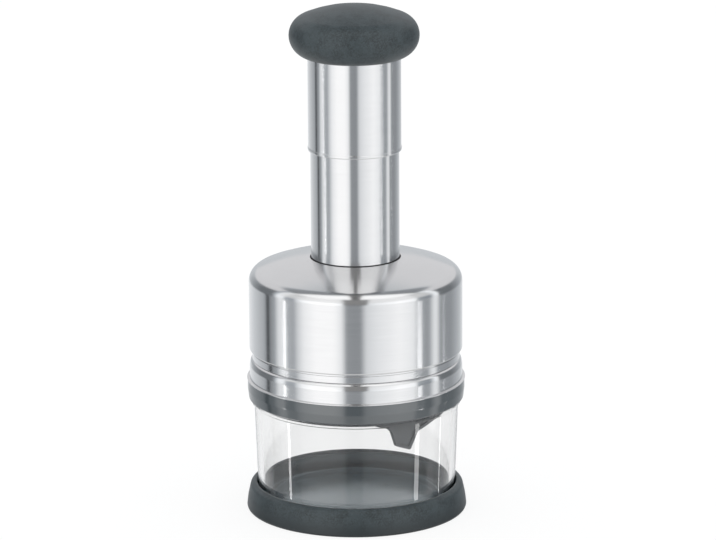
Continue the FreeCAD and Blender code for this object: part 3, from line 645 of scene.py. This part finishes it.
def knob(finish):
    """Mushroom knob: crown, rim and belly arcs, and a mouth that fits round the sleeve"""
    out = radius("knob_grip") - 0.05 * MM
    crown_top = top("knob_grip") - 0.8 * MM
    rim = 9.4 * MM
    belly = 10.0 * MM
    rise = 13.3 * MM
    mouth = radius("sleeve") + 0.1 * MM
    lip = mouth + 0.9 * MM
    widest = crown_top - rise
    rim_centre = out - rim
    crown = (rim ** 2 - rim_centre ** 2 - rise ** 2) / (2 * (rim - rise))
    join = math.degrees(math.atan2(crown - rise, rim_centre))
    foot_angle = -math.degrees(math.acos((lip - out + belly) / belly))
    outline = arc(0, widest + rise - crown, crown, 90, join)
    outline[0].x = 0
    outline += arc(rim_centre, widest, rim, join, 0)[1:]
    outline += arc(out - belly, widest, belly, 0, foot_angle)[1:]
    foot_z = outline[-1].y
    bore_end = 0.6 * mouth
    bore_top = top("knob_core") + 0.1 * MM
    outline += [Vector((mouth, foot_z + 0.2 * MM)), Vector((mouth, top("sleeve")))]
    outline += [Vector((bore_end, bore_top)), Vector((0, bore_top))]
    stand_in("soft_knob", "knob_grip", "plunger", finish, outline)


# Return spring: turns, radius of its wire, rise of an end turn, and mesh steps along and round the wire
SPRING_TURNS = 14
SPRING_WIRE = 0.8 * MM
SPRING_END = 2.3 * MM
SPRING_STEPS = 48
SPRING_SIDES = 12


def spring_height(turn, start, end):
    """Height of the wire's middle after so many turns: close end turns, open turns between"""
    open_pitch = (end - start - 2 * SPRING_END) / (SPRING_TURNS - 2)
    if turn < 1:
        return start + turn * SPRING_END
    if turn > SPRING_TURNS - 1:
        return end - (SPRING_TURNS - turn) * SPRING_END
    return start + SPRING_END + (turn - 1) * open_pitch


def spring(finish):
    """Return spring of one round wire, made once between the CAD spring's ends"""
    start, end = low("main_spring"), top("main_spring")
    mean = radius("main_spring") - SPRING_WIRE
    verts, faces = [], []
    for i in range(SPRING_STEPS * SPRING_TURNS + 1):
        around = 2 * math.pi * i / SPRING_STEPS
        height = spring_height(i / SPRING_STEPS, start + SPRING_WIRE, end - SPRING_WIRE)
        for k in range(SPRING_SIDES):
            across = 2 * math.pi * k / SPRING_SIDES
            out = mean + SPRING_WIRE * math.cos(across)
            lift = SPRING_WIRE * math.sin(across)
            verts.append((out * math.cos(around), out * math.sin(around), height + lift))
    for i in range(SPRING_STEPS * SPRING_TURNS):
        for k in range(SPRING_SIDES):
            near = i * SPRING_SIDES + k
            beside = i * SPRING_SIDES + (k + 1) % SPRING_SIDES
            faces.append((near, near + SPRING_SIDES, beside + SPRING_SIDES, beside))
    faces.append(tuple(range(SPRING_SIDES)))
    faces.append(tuple(reversed(range(len(verts) - SPRING_SIDES, len(verts)))))
    mesh = bpy.data.meshes.new("wound_spring")
    mesh.from_pydata(verts, [], faces)
    mesh.shade_smooth()
    piece = bpy.data.objects.new("wound_spring", mesh)
    bpy.context.scene.collection.objects.link(piece)
    piece.data.materials.append(finish)
    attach(piece, "head")
    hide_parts("main_spring")
    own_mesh(piece)


# Studio

def camera():
    """Camera at the photograph's place, on the photograph's line of sight"""
    data = bpy.data.cameras.new("camera")
    data.sensor_width = SENSOR
    data.lens = FOCAL_PIXELS * SENSOR / PHOTO_WIDTH
    data.clip_start = CAMERA_NEAR
    data.clip_end = CAMERA_FAR
    made = bpy.data.objects.new("camera", data)
    bpy.context.scene.collection.objects.link(made)
    back = Vector((0, -math.cos(CAMERA_DOWN), math.sin(CAMERA_DOWN)))
    look = (-back).to_track_quat("-Z", "Y").to_matrix().to_4x4()
    place = Matrix.Translation(AIM + back * CAMERA_DISTANCE)
    roll = Matrix.Rotation(CAMERA_ROLL, 4, "Z")
    made.matrix_world = place @ look @ roll
    bpy.context.scene.camera = made


# Walls of the studio: light levels by degrees from the front towards +X
WALLS = (
    (-180, 0.78), (-150, 0.63), (-119, 0.42), (-114, 0.30), (-112, 0.05), (-108, 0.05), (-106, 0.26),
    (-98, 0.33), (-94, 0.62), (-91, 0.76), (-84, 0.76), (-80, 0.40), (-70, 0.36), (-66, 0.60),
    (-58, 0.84), (-44, 0.98), (-24, 0.98), (-15, 0.82), (-10, 0.27), (5, 0.25), (11, 0.66),
    (24, 0.78), (48, 0.92), (66, 0.82), (71, 0.34), (86, 0.30), (93, 0.74), (98, 0.78),
    (104, 0.30), (124, 0.28), (150, 0.47), (180, 0.78),
)
# Low far side of the studio, by degrees from straight behind to either side
FAR_SIDE = ((0, 0.52), (20, 0.48), (42, 0.27), (58, 0.15), (82, 0.15))
# Ceiling, by degrees from behind over the top to the front
CEILING = ((0, 0.62), (50, 0.55), (62, 0.26), (90, 0.2), (97, 1.0), (128, 1.0), (140, 0.3), (180, 0.12))
STUDIO_WHITE = 1.25
BACKDROP = 0.6
TABLE = 0.62
BEAM = 0.12
DOOR = 0.22
FRONT_TOP = 0.7
# Three small lamps low beside the table: middle and half width in degrees, and level
LOW_LAMPS = ((-84, 1.6, 7), (74, 3, 5), (112, 0.5, 6))
FILL = 0.95
FILL_COLOUR = (0.97, 0.99, 1, 1)
# How much cooler a dark level is than a white one
COOL = 0.08

# Where the studio's parts fade in and out, by direction: x aside, y away from the front, z up
AWAY = (0.12, 0.2)
LIFTED = (-0.15, 0.06)
LIFT_BRIGHT = 0.02
LIFT_CONTRAST = 0.5
FAR_LOW = (-0.2, -0.14)
FAR_EDGE = 0.575
FAR_SLOPE = 0.4
FAR_FADE = (0.02, -0.02)
UPPER = (-0.1, 0.1)
TABLE_DOWN = (-0.36, -0.62)
BEAM_ASIDE = (0.085, 0.055)
BEAM_FORWARD = (0.3, 0.1)
HIGH = (0.1, 0.32)
HIGH_FORWARD = (0.1, -0.1)
HIGH_SHARE = 0.75
DOOR_ASIDE = (0.26, 0.17)
DOOR_FORWARD = (0.0, -0.1)
DOOR_UP = (-0.12, 0.08)
CEILING_UP = (0.66, 0.76)
LAMP_FOOT = (-0.375, -0.36)
LAMP_HEAD = (-0.31, -0.325)
LAMP_EDGE = 0.4


def levels(s, stops, value, span, start):
    """Ramp of light levels, cooler where it is darker, over a value in degrees"""
    ramp = s.node("ShaderNodeValToRGB")
    marks = ramp.color_ramp.elements
    while len(marks) < len(stops):
        marks.new(0.5)
    for mark, (degrees, level) in zip(marks, stops):
        mark.position = (degrees - start) / span
        cool = COOL * max(0, 1 - level)
        mark.color = (level * (1 - cool), level, level * (1 + cool), 1)
    share = s.math("MULTIPLY", value, 180 / math.pi / span)
    s.link(s.math("ADD", share, -start / span), ramp.inputs[0])
    return ramp.outputs[0]


def painted_studio(s):
    """Colour of the studio by direction: striped walls, dark low far side, ceiling, dark door and lamps"""
    parts = s.node("ShaderNodeSeparateXYZ")
    s.link(s.node("ShaderNodeTexCoord").outputs["Generated"], parts.inputs[0])
    x, y, z = parts.outputs
    azimuth = s.math("ARCTAN2", x, s.math("MULTIPLY", y, -1.0))
    walls = levels(s, WALLS, azimuth, 360, -180)
    lift = s.node("ShaderNodeBrightContrast")
    s.link(walls, lift.inputs[0])
    lift.inputs[1].default_value = LIFT_BRIGHT
    lift.inputs[2].default_value = LIFT_CONTRAST
    walls = s.mix(s.ease(z, *LIFTED), walls, lift.outputs[0])
    aside = s.math("ABSOLUTE", s.math("ARCTAN2", x, y))
    far = levels(s, FAR_SIDE, aside, 180, 0)
    edge = s.math("SUBTRACT", FAR_EDGE, s.math("MULTIPLY", y, FAR_SLOPE))
    below = s.math("SUBTRACT", z, edge)
    band = s.math("MULTIPLY", s.ease(z, *FAR_LOW), s.ease(below, *FAR_FADE))
    band = s.math("MULTIPLY", band, s.ease(y, *AWAY))
    backdrop = s.mix(s.ease(y, *AWAY), walls, (BACKDROP, BACKDROP, BACKDROP * 1.02, 1))
    upper = s.mix(s.ease(z, *UPPER), walls, backdrop)
    wall = s.mix(band, upper, far)
    low_wall = s.mix(s.ease(z, *TABLE_DOWN), wall, grey(TABLE))
    over = s.math("ARCTAN2", z, y)
    ceiling = levels(s, CEILING, over, 180, 0)
    beam = s.math("MULTIPLY", s.ease(s.math("ABSOLUTE", x), *BEAM_ASIDE), s.ease(y, *BEAM_FORWARD))
    ceiling = s.mix(beam, ceiling, grey(BEAM))
    high = s.math("MULTIPLY", s.ease(z, *HIGH), s.ease(y, *HIGH_FORWARD))
    low_wall = s.mix(s.math("MULTIPLY", high, HIGH_SHARE), low_wall, grey(FRONT_TOP))
    door = s.math("MULTIPLY", s.ease(s.math("ABSOLUTE", x), *DOOR_ASIDE), s.ease(y, *DOOR_FORWARD))
    door = s.math("MULTIPLY", door, s.ease(z, *DOOR_UP))
    low_wall = s.mix(door, low_wall, grey(DOOR))
    whole = s.mix(s.ease(z, *CEILING_UP), low_wall, ceiling)
    low_zone = s.math("MULTIPLY", s.ease(z, *LAMP_FOOT), s.ease(z, *LAMP_HEAD))
    turn = s.math("MULTIPLY", azimuth, 180 / math.pi)
    for centre, half, level in LOW_LAMPS:
        away = s.math("ABSOLUTE", s.math("SUBTRACT", turn, centre))
        lamp = s.math("MULTIPLY", s.ease(away, half + LAMP_EDGE, half - LAMP_EDGE), low_zone)
        whole = s.mix(lamp, whole, grey(level))
    return whole


def studio():
    """World: white to the camera and through clear plastic, painted to reflections, else even light"""
    world = bpy.data.worlds.new("studio")
    bpy.context.scene.world = world
    world.use_nodes = True
    s = Shader(world.node_tree)
    path = s.node("ShaderNodeLightPath")
    seen = s.node("ShaderNodeBackground")
    seen.inputs["Color"].default_value = grey(1)
    seen.inputs["Strength"].default_value = 1.0
    mirrored = s.node("ShaderNodeBackground")
    s.link(painted_studio(s), mirrored.inputs["Color"])
    mirrored.inputs["Strength"].default_value = STUDIO_WHITE
    even = s.node("ShaderNodeBackground")
    even.inputs["Color"].default_value = FILL_COLOUR
    even.inputs["Strength"].default_value = FILL
    direct = s.math("MAXIMUM", path.outputs["Is Camera Ray"], path.outputs["Is Transmission Ray"])
    first = s.node("ShaderNodeMixShader")
    s.link(path.outputs["Is Glossy Ray"], first.inputs[0])
    s.link(even.outputs[0], first.inputs[1])
    s.link(mirrored.outputs[0], first.inputs[2])
    second = s.node("ShaderNodeMixShader")
    s.link(direct, second.inputs[0])
    s.link(first.outputs[0], second.inputs[1])
    s.link(seen.outputs[0], second.inputs[2])
    output = s.node("ShaderNodeOutputWorld")
    s.link(second.outputs[0], output.inputs["Surface"])


# Floor: side, drop below the sole, grey for light and shadow, and its own white and the share of it shown
FLOOR_SIZE = 6.0
FLOOR_DROP = 0.02 * MM
FLOOR_GREY = 0.7
FLOOR_WHITE = 1.16
FLOOR_SHOWN = 0.72


def floor():
    """White floor: it keeps the shadow, and reflections look through it into the studio"""
    mesh = bpy.data.meshes.new("floor")
    half = FLOOR_SIZE / 2
    corners = [(-half, -half, 0), (half, -half, 0), (half, half, 0), (-half, half, 0)]
    mesh.from_pydata(corners, [], [(0, 1, 2, 3)])
    made = bpy.data.objects.new("floor", mesh)
    made.location.z = -FLOOR_DROP
    bpy.context.scene.collection.objects.link(made)
    finish, s = material("floor_white")
    matte = s.node("ShaderNodeBsdfDiffuse")
    matte.inputs["Color"].default_value = grey(FLOOR_GREY)
    glow = s.node("ShaderNodeEmission")
    glow.inputs["Strength"].default_value = FLOOR_WHITE
    clear = s.node("ShaderNodeBsdfTransparent")
    path = s.node("ShaderNodeLightPath")
    direct = s.math("MAXIMUM", path.outputs["Is Camera Ray"], path.outputs["Is Transmission Ray"])
    shown = s.node("ShaderNodeMixShader")
    s.link(s.math("MULTIPLY", direct, FLOOR_SHOWN), shown.inputs[0])
    s.link(matte.outputs[0], shown.inputs[1])
    s.link(glow.outputs[0], shown.inputs[2])
    mirrored = s.node("ShaderNodeMixShader")
    s.link(path.outputs["Is Glossy Ray"], mirrored.inputs[0])
    s.link(shown.outputs[0], mirrored.inputs[1])
    s.link(clear.outputs[0], mirrored.inputs[2])
    output = s.node("ShaderNodeOutputMaterial")
    s.link(mirrored.outputs[0], output.inputs["Surface"])
    made.data.materials.append(finish)


def dress(finish, *names):
    """Give CAD nodes their finish"""
    for name in names:
        nodes[name].data.materials.clear()
        nodes[name].data.materials.append(finish)


def main():
    camera()
    studio()
    floor()
    grip = soft_grip()
    gloss = gloss_grey()
    satin = dark_plastic()
    rubber = seal_rubber()
    steel = brushed_steel("brushed_steel", (0.78, 0.78, 0.785), rough=0.16, grain=0.07)
    blade = brushed_steel("blade_steel", (0.66, 0.67, 0.68), rough=0.2, grain=0.05)
    polished = plain_steel("polished_steel", (0.78, 0.78, 0.785), rough=0.09)
    drawn = plain_steel("drawn_steel", (0.5, 0.5, 0.5), rough=0.3)
    foot(grip)
    dish(dish_grey())
    chamber(clear_plastic())
    collar(gloss)
    band(steel)
    bead(polished)
    dome(steel)
    tubes(steel)
    knob(grip)
    tube_line(rubber)
    spring(drawn)
    dress(rubber, "collar_seal", "bump_washer")
    dress(satin, "stripper", "stripper_retainer", "inner_housing", "guide_bush", "ratchet_ring",
          "drive_nut", "knob_core", "thrust_washer", "blade_carrier")
    dress(blade, "chopping_blade")
    dress(drawn, "collar_pins", "flange_screws", "spring_seat", "spring_cap",
          "rod_clip", "drive_rod", "hub_pin")


main()
view = bpy.context.scene.view_settings
view.view_transform = "Standard"
